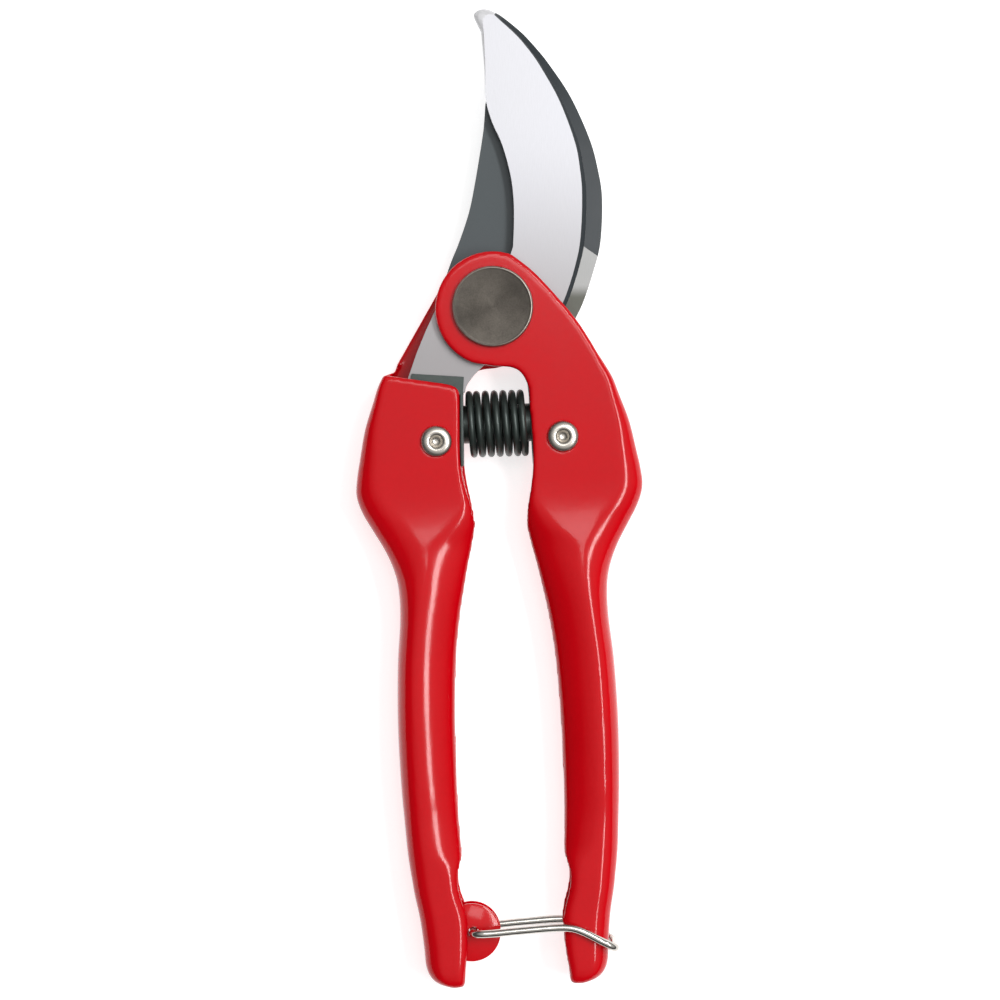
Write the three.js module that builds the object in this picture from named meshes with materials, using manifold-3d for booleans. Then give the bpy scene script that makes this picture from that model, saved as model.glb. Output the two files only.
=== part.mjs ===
// Bypass pruner with pressed steel handles, closed and latched, lying flat.
// Millimetres. X to the right, Y towards the jaw tip, Z up. The pivot axis is X = Y = 0.
// Heights are first counted from the middle plane between the two jaws; the whole group is lifted at the end.
import Module from "manifold-3d";
import * as THREE from "three";
import { mergeVertices } from "three/addons/utils/BufferGeometryUtils.js";

const wasm = await Module();
wasm.setup();

const MID_HEIGHT = 7.85; // middle plane above the surface the pruner lies on
const SHEET = 1.75; // pressed handle sheet
const INNER_HALF = 4.25; // middle plane to the inner face of a handle's flat part
const OUTER_HALF = INNER_HALF + SHEET;
const JAW_GAP = 0.05; // middle plane to each jaw
const JAW_TOP = 3.4; // middle plane to a jaw's outer face
const LEFT_TURN = THREE.MathUtils.degToRad(4.25); // left handle against the right one turned over

const RING_RADIUS = 12.3;
const RING_BORE = 6.0;
const HEAD_RADIUS = 8.65;
const SHOULDER_RADIUS = 5.9;
const SHANK_RADIUS = 4.5;
const THREAD_RADIUS = 4.0;
const JAW_BORE = 4.6;
const WASHER_RADIUS = 10.4;
const SPANNER_HOLE_RADIUS = 1.1;
const SPANNER_HOLE_AT = 6.3;

const RIVET_RIGHT = [15.0, -27.7];
const RIVET_LEFT = [14.15, -27.8]; // in the left handle's own turned-over place
const RIVET_SHANK = 2.4;
const RIVET_HOLE = 2.6;
const RIVET_HEAD = 3.35;

const SEAT_SHEET = 0.6;
const SEAT_LEAF_Z = [3.5, 4.15];
const SEAT_TOP = -18.2;
const SEAT_FOOT = -33.4;
const SEAT_SLOPE = 0.06;
const SEAT_EDGE = 7.74;
const PEG_RADIUS = 4.1;
const PEG_LENGTH = 3;

const SPRING_AT = [0.93, -24.8];
const SPRING_TILT = THREE.MathUtils.degToRad(1.8);
const SPRING_RADIUS = 6.5; // to the wire's centre
const SPRING_WIRE = 0.72;
const SPRING_LENGTH = 12.5;
const SPRING_TURNS = 7;
const SPRING_CLOSED_PITCH = 1.5; // the end turn at each side lies almost against its neighbour

const EAR_AT = [-4.5, -134.1];
const EAR_RADIUS = 6.2;
const EAR_Z = [1.9, 3.3];
const LATCH_AT = [-4.1, -133.9];
const EAR_HOLE = 1.15;
const LATCH_WIRE = 0.85;
const LATCH_HALF_WIDTH = 6.9;

// Right handle, one row per cross-section: Y, outer edge X, inner edge X, half depth,
// outer corner's width and depth, inner corner's width and depth, how far the lips are rolled in
const HANDLE_ROWS = [
  [-9.8, 22.5, 8.3, 6.0, 0.9, 1.9, 0.3, 0.3, 0],
  [-14.6, 25.5, 8.0, 6.0, 1.1, 2.2, 0.3, 0.3, 0],
  [-18.5, 27.1, 7.8, 6.0, 1.7, 2.6, 0.3, 0.3, 0],
  [-24.2, 29.3, 8.17, 6.0, 2.7, 3.1, 0.3, 0.3, 0],
  [-30.6, 30.9, 8.6, 6.0, 3.8, 3.6, 0.3, 0.3, 0],
  [-34.5, 31.8, 8.55, 6.0, 4.5, 3.9, 0.4, 0.4, 0],
  [-38.2, 32.2, 8.2, 6.0, 5.4, 4.2, 0.9, 0.6, 0],
  [-42.0, 31.2, 7.55, 6.1, 6.5, 4.6, 2.4, 1.2, 0.15],
  [-46.0, 29.2, 7.15, 6.35, 7.8, 5.0, 6.0, 3.2, 0.5],
  [-50.5, 26.9, 8.15, 6.75, 8.0, 5.4, 9.8, 4.9, 0.85],
  [-55.0, 25.3, 9.4, 7.05, 6.5, 5.8, 9.3, 5.4, 1],
  [-59.5, 24.65, 10.5, 7.2, 5.2, 6.0, 8.8, 5.6, 1],
  [-66.0, 24.9, 12.0, 7.2, 4.3, 6.0, 8.5, 5.7, 1],
  [-75.4, 26.1, 13.5, 7.1, 4.2, 6.0, 8.2, 5.6, 1],
  [-88.2, 27.0, 14.6, 6.9, 4.2, 5.8, 7.8, 5.4, 1],
  [-101.0, 27.25, 15.2, 6.4, 4.1, 5.4, 7.5, 4.9, 1],
  [-109.0, 27.1, 15.4, 5.75, 4.0, 4.8, 7.2, 4.3, 1],
  [-115.0, 26.95, 15.3, 5.7, 4.2, 4.6, 6.6, 3.9, 0.9],
  [-118.0, 26.75, 15.5, 5.7, 4.3, 4.4, 4.8, 2.8, 0.4],
  [-121.0, 26.45, 16.4, 5.7, 4.2, 4.2, 3.0, 1.7, 0],
  [-124.5, 26.1, 16.3, 5.7, 4.1, 4.1, 2.8, 1.6, 0],
  [-130.0, 25.3, 15.1, 5.7, 4.0, 4.0, 2.8, 1.6, 0],
  [-136.0, 24.9, 15.4, 5.7, 4.0, 4.0, 2.6, 1.6, 0],
  [-140.0, 24.75, 15.95, 5.7, 3.8, 4.0, 2.4, 1.6, 0],
  [-142.4, 23.9, 16.4, 5.5, 3.2, 3.8, 1.8, 1.6, 0],
  [-143.9, 22.3, 16.6, 5.0, 2.4, 3.4, 1.2, 1.4, 0],
  [-144.8, 19.6, 17.0, 4.2, 0.9, 1.4, 0.7, 0.9, 0],
];
const CAVITY_END = -142.6;
const BACK_EDGE_RELIEF = 0.72;
const RIDGE = 1.42; // how steeply a grip falls from its crown to its inner edge

// Jaw outlines: the hooked jaw clockwise, the cutting blade counter-clockwise
const HOOK_TIP = [[-3.9, 62.2], [-4.0, 63.2], [-2.9, 64.1], [-1.2, 64.2], [0.6, 63.4]];
const HOOK_SPINE = [
  [2.3, 62.3], [6.25, 59.0], [9.45, 55.6], [12.2, 52.2], [16.7, 45.4], [20.7, 36.6],
  [22.5, 30.2], [23.5, 23.6], [23.15, 14.2], [21.6, 7.8], [19.5, 1.4], [17.7, -2.4],
];
const HOOK_STRIP = [0.3, 1.2, 1.6, 2.0, 2.65, 3.3, 3.85, 4.35, 4.4, 4.1, 4.0, 3.9];
const HOOK_HEEL = [[15.0, -5.0], [11.0, -7.2], [7.3, -8.9], [2.9, -11.0], [-1.0, -11.4]];
const HOOK_BACK = [[-12.3, 0.6], [-10.7, 4.4], [-8.0, 8.0], [-3.6, 10.4], [1.4, 10.8], [3.7, 11.0]];
const HOOK_EDGE = [
  [4.35, 13.0], [4.55, 18.0], [4.45, 23.4], [3.75, 28.7], [2.0, 35.0], [-0.2, 40.0], [-1.5, 45.0],
  [-1.85, 52.0], [-2.5, 59.4],
];
const BLADE_EDGE = [
  [12.4, 4.6], [14.0, 10.0], [14.7, 16.0], [14.6, 21.5], [13.2, 27.5], [10.4, 33.5], [6.4, 39.5],
  [2.4, 43.8], [-0.9, 46.4],
];
const BLADE_BEVEL = [1.2, 3.2, 4.6, 5.0, 4.8, 4.2, 3.2, 1.9, 0.4];
const BLADE_SPINE = [
  [-1.6, 44.0], [-2.0, 38.5], [-2.75, 33.4], [-3.8, 27.2], [-5.1, 20.8], [-7.2, 14.4], [-9.2, 9.4],
  [-11.0, 3.6], [-11.4, -1.2], [-10.2, -5.4], [-7.2, -9.0], [-3.0, -11.1],
];
const BEVEL_START = 1.7;

// Tang outline of a right-hand jaw, from the throat round the lower end to the outer side
const TANG = [
  [8.5, -18.05], [9.42, -34.2], [9.6, -38.0], [11.2, -40.6], [14.5, -41.6], [18.2, -40.4], [20.2, -36.5],
  [20.6, -28.0], [19.6, -19.0], [18.4, -13.4], [17.9, -10.0], [15.2, -3.9],
];
const HOOK_THROAT = [[1.84, -11.3], [5.0, -14.0], [6.8, -16.2], [7.3, -17.6]];
const BLADE_THROAT = [[2.6, -11.2], [5.9, -13.0], [7.5, -15.4], [8.3, -17.7]];

const red = new THREE.MeshStandardMaterial({ color: 0xc8252d, roughness: 0.28, metalness: 0 });
const polished = new THREE.MeshStandardMaterial({ color: 0xd4d4d2, roughness: 0.3, metalness: 1 });
const coated = new THREE.MeshStandardMaterial({ color: 0x50585c, roughness: 0.45, metalness: 0.4 });
const turned = new THREE.MeshStandardMaterial({ color: 0x5a5751, roughness: 0.35, metalness: 1 });
const plated = new THREE.MeshStandardMaterial({ color: 0xc9c8c0, roughness: 0.2, metalness: 1 });
const blackened = new THREE.MeshStandardMaterial({ color: 0x23292a, roughness: 0.45, metalness: 0.7 });
const spacer = new THREE.MeshStandardMaterial({ color: 0x3b3d3f, roughness: 0.6, metalness: 0.8 });
const bronze = new THREE.MeshStandardMaterial({ color: 0x9a7b4a, roughness: 0.4, metalness: 0.9 });

function solid(geometry) {
  const bare = geometry.clone();
  bare.deleteAttribute("normal");
  bare.deleteAttribute("uv");
  const merged = mergeVertices(bare, 1e-5);
  const vertProperties = new Float32Array(merged.attributes.position.array);
  const triVerts = new Uint32Array(merged.index.array);
  return new wasm.Manifold(new wasm.Mesh({ numProp: 3, vertProperties, triVerts }));
}

function piece(name, shape, material) {
  const { vertProperties, triVerts } = shape.getMesh();
  const geometry = new THREE.BufferGeometry();
  geometry.setAttribute("position", new THREE.BufferAttribute(new Float32Array(vertProperties), 3));
  geometry.setIndex(new THREE.BufferAttribute(new Uint32Array(triVerts), 1));
  geometry.computeVertexNormals();
  const mesh = new THREE.Mesh(geometry, material);
  mesh.name = name;
  return mesh;
}

function points(list) {
  return list.map(([x, y]) => new THREE.Vector2(x, y));
}

function smooth(list, perSpan) {
  return new THREE.SplineCurve(points(list)).getPoints((list.length - 1) * perSpan).map(({ x, y }) => [x, y]);
}

function slab(outline, low, high) {
  const shape = new THREE.Shape(points(outline));
  const geometry = new THREE.ExtrudeGeometry(shape, { depth: high - low, bevelEnabled: false });
  geometry.translate(0, 0, low);
  return solid(geometry);
}

function disc(radius, low, high, at = [0, 0], segments = 48) {
  const geometry = new THREE.CylinderGeometry(radius, radius, high - low, segments);
  geometry.rotateX(Math.PI / 2);
  geometry.translate(at[0], at[1], (low + high) / 2);
  return solid(geometry);
}

function washer(inner, outer, low, high) {
  return disc(outer, low, high).subtract(disc(inner, low - 1, high + 1));
}

function turnedShape(profile, segments) {
  const geometry = new THREE.LatheGeometry(points(profile), segments);
  geometry.rotateX(Math.PI / 2);
  return solid(geometry);
}

// A body from rings of equal point count, one after another, closed at both ends
function rings(loops, across) {
  const count = loops[0].length;
  const position = loops.flat(2);
  const index = [];
  for (let i = 0; i + 1 < loops.length; i++) {
    for (let j = 0; j < count; j++) {
      const next = (j + 1) % count;
      const [a, b, c, d] = [i * count + j, i * count + next, (i + 1) * count + next, (i + 1) * count + j];
      index.push(a, b, c, a, c, d);
    }
  }
  for (const end of [0, loops.length - 1]) {
    const flat = loops[end].map(across);
    for (const [a, b, c] of THREE.ShapeUtils.triangulateShape(flat, [])) {
      const order = end === 0 ? [c, b, a] : [a, b, c];
      index.push(...order.map((n) => end * count + n));
    }
  }
  const geometry = new THREE.BufferGeometry();
  geometry.setAttribute("position", new THREE.Float32BufferAttribute(position, 3));
  geometry.setIndex(index);
  return solid(geometry);
}

// A plate whose outline changes from level to level
function levels(list) {
  const clockwise = THREE.ShapeUtils.isClockWise(points(list[0].outline));
  const loops = list.map(({ z, outline }) => {
    const loop = outline.map(([x, y]) => [x, y, z]);
    return clockwise ? loop.reverse() : loop;
  });
  return rings(loops, ([x, y]) => new THREE.Vector2(x, y));
}

// The same stretch of outline moved sideways, a different distance at each point
function inset(line, distances) {
  return line.map(([x, y], i) => {
    const before = line[Math.max(i - 1, 0)];
    const after = line[Math.min(i + 1, line.length - 1)];
    const along = new THREE.Vector2(after[0] - before[0], after[1] - before[1]).normalize();
    return [x + along.y * distances[i], y - along.x * distances[i]];
  });
}

function onLeft([x, y]) {
  const p = new THREE.Vector2(-x, y).rotateAround(new THREE.Vector2(), LEFT_TURN);
  return [p.x, p.y];
}

function arc(centreX, centreZ, radius, from, to, steps, depth = radius) {
  return Array.from({ length: steps + 1 }, (_, i) => {
    const angle = THREE.MathUtils.degToRad(from + ((to - from) * i) / steps);
    return [centreX + radius * Math.cos(angle), centreZ + depth * Math.sin(angle)];
  });
}

// Quarter turn from a start angle, an ellipse where ridge is 1. Above 1 it leaves the crown more steeply.
function corner(centreX, centreZ, wide, deep, from, steps, ridge) {
  return Array.from({ length: steps + 1 }, (_, i) => {
    const angle = THREE.MathUtils.degToRad(from + (90 * i) / steps);
    const across = Math.cos(angle);
    return [centreX + wide * Math.sign(across) * Math.abs(across) ** ridge, centreZ + deep * Math.sin(angle)];
  });
}

function backRelief(y) {
  return BACK_EDGE_RELIEF * THREE.MathUtils.clamp((y + 44) / 8, 0, 1);
}

// Outside of the handle's cross-section, counter-clockwise in X and Z from the outer side
function outsideLoop([y, outer, inner, half, wide, deep, edgeWide, edgeDeep, lip]) {
  const back = inner + backRelief(y);
  const ridge = THREE.MathUtils.lerp(1, RIDGE, lip);
  return [
    ...arc(outer - wide, half - deep, wide, 0, 90, 5, deep),
    ...corner(inner + edgeWide, half - edgeDeep, edgeWide, edgeDeep, 90, 5, ridge),
    ...corner(back + edgeWide, edgeDeep - half, edgeWide, edgeDeep, 180, 5, ridge),
    ...arc(outer - wide, deep - half, wide, 270, 360, 5, deep),
  ].map(([x, z]) => [x, y, z]);
}

// Hollow of the same cross-section, running out through the inner side between the lips
function hollowLoop([y, outer, inner, half, wide, deep, edgeWide, edgeDeep, lip]) {
  const top = half - SHEET;
  const round = [Math.max(wide - SHEET, 0.6), Math.max(deep - SHEET, 0.6)];
  const slot = THREE.MathUtils.lerp(top, half - edgeDeep - 0.2, lip);
  const rolled = corner(inner + edgeWide, half - edgeDeep, Math.max(edgeWide - SHEET, 0.1),
    Math.max(edgeDeep - SHEET, 0.1), 90, 3, THREE.MathUtils.lerp(1, RIDGE, lip));
  const straight = [0, 1, 2, 3].map((i) => [THREE.MathUtils.lerp(inner + edgeWide, inner - 2, i / 3), top]);
  const side = straight.map(([x, z], i) => [
    THREE.MathUtils.lerp(x, rolled[i][0], lip),
    THREE.MathUtils.lerp(z, rolled[i][1], lip) - i * 0.001,
  ]);
  const front = [
    ...arc(outer - SHEET - round[0], top - round[1], round[0], 0, 90, 3, round[1]),
    ...side,
    [inner - 4, slot - 0.01],
  ];
  const back = front.map(([x, z]) => [x, -z]).reverse();
  return [...front, ...back].map(([x, z]) => [x, y, z]);
}

function handleRows() {
  const columns = HANDLE_ROWS[0].length;
  const tracks = Array.from({ length: columns }, (_, c) =>
    smooth(HANDLE_ROWS.map((row) => [row[0], row[c]]), 1));
  return tracks[0].map((_, i) => tracks.map((track) => track[i][1]));
}

function handleLoft(rows, loop) {
  return rings(rows.map(loop), ([x, , z]) => new THREE.Vector2(x, z));
}

// Flat front part: pivot ring, the arm beside the arch and the part that runs into the channel
function frontPlate() {
  const ring = arc(0, -0.4, RING_RADIUS, -107, -290, 30);
  const outline = [
    ...smooth([[8.0, -23], [7.75, -18.1], [7.2, -16.0], [5.9, -13.9], [3.8, -12.9], [0.4, -12.7]], 4),
    ...ring.slice(1, -1),
    ...smooth([[4.2, 11.1], [8.9, 7.4], [14.3, 1.6], [18.1, -3.0], [21.1, -7.6], [22.4, -9.9]], 4),
    [22.9, -10.9],
    [24.0, -23],
  ];
  return slab(outline, INNER_HALF, OUTER_HALF);
}

function handle(rivetAt) {
  const rows = handleRows();
  const outside = handleLoft(rows, outsideLoop);
  const inside = [[-5, ...rows[0].slice(1)], ...rows.filter(([y]) => y > CAVITY_END)];
  const channel = outside.subtract(handleLoft(inside, hollowLoop));
  const backCut = [
    [0, -18.6], [8.2, -18.6], [8.45, -17.5], [9.2, -16.5], [10.6, -15.8], [23.8, -12.9], [30, -11.7], [30, 0],
    [0, 0],
  ];
  const webCut = [[0, -10.4], [30, -10.4], [30, 0], [0, 0]];
  return channel
    .subtract(slab(backCut, -10, 2.6))
    .subtract(slab(webCut, 2.5, INNER_HALF))
    .add(frontPlate())
    .subtract(disc(RING_BORE, -10, 10))
    .subtract(disc(RIVET_HOLE, -10, 10, rivetAt, 28));
}

function hook() {
  const spine = smooth(HOOK_SPINE, 3);
  const strip = smooth(HOOK_STRIP.map((width, i) => [i, width]), 3).map(([, width]) => width);
  const rest = [
    ...HOOK_HEEL,
    ...smooth(HOOK_THROAT, 2).slice(1).map(onLeft),
    ...TANG.map(onLeft),
    ...smooth(HOOK_BACK, 2),
    ...smooth(HOOK_EDGE, 3),
    ...HOOK_TIP,
  ];
  const full = [...spine, ...rest];
  const ground = [...inset(spine, strip), ...rest];
  return levels([
    { z: JAW_GAP, outline: full },
    { z: BEVEL_START, outline: full },
    { z: JAW_TOP, outline: ground },
  ])
    .subtract(disc(JAW_BORE, -10, 10))
    .subtract(disc(RIVET_HOLE, -10, 10, onLeft(RIVET_LEFT), 28));
}

function blade() {
  const edge = smooth(BLADE_EDGE, 3);
  const bevel = smooth(BLADE_BEVEL.map((width, i) => [i, -width]), 3).map(([, width]) => width);
  const rest = [...smooth(BLADE_SPINE, 3), ...smooth(BLADE_THROAT, 2), ...TANG];
  const full = [...edge, ...rest];
  const ground = [...inset(edge, bevel), ...rest];
  return levels([
    { z: -JAW_TOP, outline: ground },
    { z: -0.3, outline: full },
    { z: -JAW_GAP, outline: full },
  ])
    .subtract(disc(JAW_BORE, -10, 10))
    .subtract(disc(RIVET_HOLE, -10, 10, RIVET_RIGHT, 28));
}

function pivotBolt() {
  const profile = [
    [0, -MID_HEIGHT], [THREAD_RADIUS - 0.4, -MID_HEIGHT], [THREAD_RADIUS, -7.45], [THREAD_RADIUS, -4.4],
    [SHANK_RADIUS, -4.2], [SHANK_RADIUS, 4.3], [SHOULDER_RADIUS, 4.3], [SHOULDER_RADIUS, 6.1],
    [HEAD_RADIUS, 6.1], [HEAD_RADIUS, 6.95], [8.15, 7.42], [7.5, 7.42], [4.5, 7.22], [0, 7.1],
  ];
  return turnedShape(profile, 48);
}

function pivotNut() {
  const face = washer(THREAD_RADIUS + 0.15, HEAD_RADIUS, -MID_HEIGHT, -6.1);
  const hub = washer(THREAD_RADIUS + 0.15, SHOULDER_RADIUS, -6.2, -4.5);
  const body = face.add(hub);
  return [-1, 1].reduce(
    (shape, side) => shape.subtract(disc(SPANNER_HOLE_RADIUS, -9, -6.9, [0, side * SPANNER_HOLE_AT], 20)),
    body,
  );
}

function rivet(rivetAt) {
  const half = [
    [RIVET_SHANK, OUTER_HALF + 0.08], [RIVET_HEAD, OUTER_HALF + 0.08], [RIVET_HEAD, OUTER_HALF + 0.35],
    [RIVET_HEAD - 0.25, OUTER_HALF + 0.85], [2.7, OUTER_HALF + 1.15], [2.2, OUTER_HALF + 1.1],
    [1.9, OUTER_HALF + 0.75], [1.1, OUTER_HALF + 0.5], [0, OUTER_HALF + 0.45],
  ];
  const profile = [...half.map(([r, z]) => [r, -z]).reverse(), ...half];
  return turnedShape(profile, 28).translate(...rivetAt, 0);
}

function packing(rivetAt) {
  const outline = [
    [9.5, -20.0], [12.5, -18.0], [20.2, -16.4], [23.0, -22.0], [24.4, -30.0], [23.6, -36.0], [19.0, -40.6],
    [12.0, -40.8], [9.7, -37.5],
  ];
  return slab(outline, JAW_GAP, JAW_TOP).subtract(disc(RIVET_HOLE, -10, 10, rivetAt, 28));
}

function seatEdge(y) {
  return SEAT_EDGE + SEAT_SLOPE * (SEAT_TOP - y);
}

function springSeat(rivetAt) {
  const top = [seatEdge(SEAT_TOP), SEAT_TOP];
  const foot = [seatEdge(SEAT_FOOT), SEAT_FOOT];
  const across = ([x, y]) => [x + SEAT_SHEET, y];
  const web = slab([top, foot, across(foot), across(top)], -OUTER_HALF, SEAT_LEAF_Z[1]);
  const leaf = [[7.25, -14.4], top, foot, [19.2, -33.4], [20.2, -22.0], [18.4, -12.9]];
  const front = slab(leaf, ...SEAT_LEAF_Z);
  const back = slab(leaf, -SEAT_LEAF_Z[1], -SEAT_LEAF_Z[0]);
  const pegY = -24.5;
  const pegShape = new THREE.LatheGeometry(
    points([[0, -0.3], [PEG_RADIUS, -0.3], [PEG_RADIUS, PEG_LENGTH - 0.6], [PEG_RADIUS - 0.6, PEG_LENGTH],
      [0, PEG_LENGTH]]),
    28,
  );
  pegShape.rotateZ(Math.PI / 2 + Math.atan(SEAT_SLOPE));
  pegShape.translate(seatEdge(pegY), pegY, 0);
  const opening = disc(RIVET_HOLE, -10, 10, rivetAt, 28);
  return web.add(front).add(back).add(solid(pegShape)).subtract(opening);
}

class Helix extends THREE.Curve {
  getPoint(t, target = new THREE.Vector3()) {
    const angle = t * SPRING_TURNS * 2 * Math.PI - Math.PI / 2;
    const turn = (Math.abs(t - 0.5) - 0.5) * SPRING_TURNS;
    const open = (SPRING_LENGTH - 2 * SPRING_CLOSED_PITCH) / (SPRING_TURNS - 2);
    const fromEnd = turn > -1 ? -turn * SPRING_CLOSED_PITCH : SPRING_CLOSED_PITCH + (-turn - 1) * open;
    const along = Math.sign(t - 0.5) * (SPRING_LENGTH / 2 - fromEnd);
    return target.set(along, SPRING_RADIUS * Math.cos(angle), SPRING_RADIUS * Math.sin(angle));
  }
}

function tube(path, radius, steps, sides) {
  const circle = arc(0, 0, radius, 0, 360, sides).slice(0, -1);
  const geometry = new THREE.ExtrudeGeometry(new THREE.Shape(points(circle)), { steps, extrudePath: path });
  return solid(geometry);
}

function coilSpring() {
  return tube(new Helix(), SPRING_WIRE, SPRING_TURNS * 16, 8);
}

// Folded bracket: two round ears joined by a web that lies inside the left handle
function latchEar() {
  const outline = [
    ...arc(EAR_AT[0], EAR_AT[1], EAR_RADIUS, 125, -125, 26),
    [-9.6, -138.2],
    [-11.6, -138.0],
    [-12.2, -128.6],
    [-10.0, -128.3],
  ];
  const block = slab(outline, -EAR_Z[1], EAR_Z[1]);
  const gap = [[-10.3, -120], [5, -120], [5, -145], [-10.3, -145]];
  return block.subtract(slab(gap, -EAR_Z[0], EAR_Z[0])).subtract(disc(EAR_HOLE, -10, 10, LATCH_AT, 20));
}

function latchWire() {
  const [x, y] = LATCH_AT;
  const side = [
    [x, y, 1.2], [x, y, 3.2], [x, y, 5.2], [x + 0.35, y, 6.3], [x + 1.6, y + 0.08, LATCH_HALF_WIDTH],
    [x + 4, y + 0.2, LATCH_HALF_WIDTH], [6, -133.1, LATCH_HALF_WIDTH], [15.2, -132.45, LATCH_HALF_WIDTH],
    [17.6, -132.75, LATCH_HALF_WIDTH], [20.2, -133.8, LATCH_HALF_WIDTH], [22.8, -135.15, LATCH_HALF_WIDTH],
    [24.9, -136.15, LATCH_HALF_WIDTH], [25.95, -136.7, 6.2], [26.2, -136.85, 4.8], [26.2, -136.85, 2.4],
  ].map((p) => new THREE.Vector3(...p));
  const other = side.map((p) => new THREE.Vector3(p.x, p.y, -p.z)).reverse();
  const path = new THREE.CatmullRomCurve3([...side, ...other], false, "centripetal");
  path.arcLengthDivisions = 800;
  return tube(path, LATCH_WIRE, 92, 8);
}

const pruner = new THREE.Group();
pruner.position.z = MID_HEIGHT;

const rightHalf = new THREE.Group();
rightHalf.add(piece("right_handle", handle(RIVET_RIGHT), red));
rightHalf.add(piece("right_packing_plate", packing(RIVET_RIGHT), spacer));
rightHalf.add(piece("right_spring_seat", springSeat(RIVET_RIGHT), blackened));
rightHalf.add(piece("right_tang_rivet", rivet(RIVET_RIGHT), plated));
rightHalf.add(piece("cutting_blade", blade(), coated));

const leftTurned = new THREE.Group();
leftTurned.rotation.set(0, Math.PI, LEFT_TURN, "ZYX");
leftTurned.add(piece("left_handle", handle(RIVET_LEFT), red));
leftTurned.add(piece("left_packing_plate", packing(RIVET_LEFT), spacer));
leftTurned.add(piece("left_spring_seat", springSeat(RIVET_LEFT), blackened));
leftTurned.add(piece("left_tang_rivet", rivet(RIVET_LEFT), plated));

const leftHalf = new THREE.Group();
leftHalf.add(leftTurned);
leftHalf.add(piece("counter_blade", hook(), polished));
leftHalf.add(piece("latch_ear", latchEar(), red));

const pivot = new THREE.Group();
pivot.add(piece("pivot_bolt", pivotBolt(), turned));
pivot.add(piece("pivot_nut", pivotNut(), turned));
pivot.add(piece("front_washer", washer(JAW_BORE, WASHER_RADIUS, 3.5, 4.15), bronze));
pivot.add(piece("back_washer", washer(JAW_BORE, WASHER_RADIUS, -4.15, -3.5), bronze));

const spring = new THREE.Group();
spring.position.set(...SPRING_AT, 0);
spring.rotation.z = SPRING_TILT;
spring.add(piece("coil_spring", coilSpring(), blackened));

pruner.add(rightHalf, leftHalf, pivot, spring, piece("latch_wire", latchWire(), plated));

export default pruner;
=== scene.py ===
"""Looks of a bypass pruner with pressed red handles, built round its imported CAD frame."""
import math

import bmesh
import bpy
import numpy as np
from mathutils import Matrix, Vector


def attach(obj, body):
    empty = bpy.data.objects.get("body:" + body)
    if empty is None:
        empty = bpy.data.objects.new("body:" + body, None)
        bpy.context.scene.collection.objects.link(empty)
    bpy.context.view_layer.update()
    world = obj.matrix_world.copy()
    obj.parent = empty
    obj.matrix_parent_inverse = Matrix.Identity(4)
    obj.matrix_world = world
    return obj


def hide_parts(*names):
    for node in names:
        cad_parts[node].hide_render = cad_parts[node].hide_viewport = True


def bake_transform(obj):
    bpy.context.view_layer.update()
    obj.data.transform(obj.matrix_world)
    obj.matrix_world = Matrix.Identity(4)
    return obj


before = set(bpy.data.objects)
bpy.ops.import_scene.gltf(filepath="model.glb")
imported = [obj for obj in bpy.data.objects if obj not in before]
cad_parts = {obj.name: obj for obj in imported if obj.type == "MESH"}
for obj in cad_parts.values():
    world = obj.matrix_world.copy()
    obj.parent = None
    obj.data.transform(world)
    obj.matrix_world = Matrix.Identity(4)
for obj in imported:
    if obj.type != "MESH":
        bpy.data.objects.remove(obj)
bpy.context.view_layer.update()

# ---------------------------------------------------------------- sizes, in millimetres
MM = 0.001
MID_HEIGHT = 7.85  # the plane between the two jaws, above the floor
SHEET = 1.75
INNER_HALF = 4.25
OUTER_HALF = INNER_HALF + SHEET
JAW_GAP = 0.05
JAW_TOP = 3.4
LEFT_TURN = math.radians(4.25)
RING_RADIUS = 12.3
RING_BORE = 6.0
HEAD_RADIUS = 8.65
RIM_INNER, RIM_OUTER = 8.2, 8.62  # where the bolt head's rim takes the lighter edge metal, a painted highlight, from the axis
RIM_LOW = 6.9  # and from the middle plane
SPANNER_HOLE = 1.1
SPANNER_HOLE_AT = 6.3
SPANNER_HOLE_TOP = -6.9
JAW_BORE = 4.6
RIVET_RIGHT = (15.0, -27.7)
RIVET_LEFT = (14.15, -27.8)
RIVET_HOLE = 2.6
CAVITY_END = -142.6
BACK_EDGE_RELIEF = 0.72  # how much further out the handle's inner edge lies at its back
RELIEF_FROM = -44
RELIEF_RUN = 8
RIDGE = 1.42  # how steeply a grip falls from its crown to its inner edge
BACK_CUT_TOP = 2.6
WEB_CUT_BOTTOM = 2.5
ENAMEL_VOXEL = 0.42
ENAMEL_PASSES = 5
WASHER_FACES = (3.5, 4.15)  # a washer's two faces, and a spring seat's leaf, from the middle plane
WASHER_RADIUS = 10.4
SEAT_TOP, SEAT_FOOT = -18.2, -33.4  # the ends of a spring seat's web
SEAT_EDGE = 7.74  # where the web stands at its top
SEAT_SLOPE = 0.06  # how far the web leans outwards, per millimetre down the handle
SEAT_PEG = -24.5
SPRING_AT = (0.93, -24.8)
SPRING_TILT = math.radians(1.8)
SPRING_LENGTH = 12.5
SPRING_TURNS = 7
SPRING_CLOSED = 1.5  # pitch of the end turns
SPRING_RADIUS = 6.5
SPRING_WIRE = 0.72
LATCH_AT = (-4.1, -133.9)
LATCH_HALF_WIDTH = 6.9
LATCH_WIRE = 0.85
LATCH_BORE = 1.15
EAR_AT = (-4.5, -134.1)
EAR_RADIUS = 6.2
EAR_FACE = 3.3
EAR_DOME = 0.9
EAR_GAP = 1.9
CLEAR = 10  # a height beyond the front and the back of every piece

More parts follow.
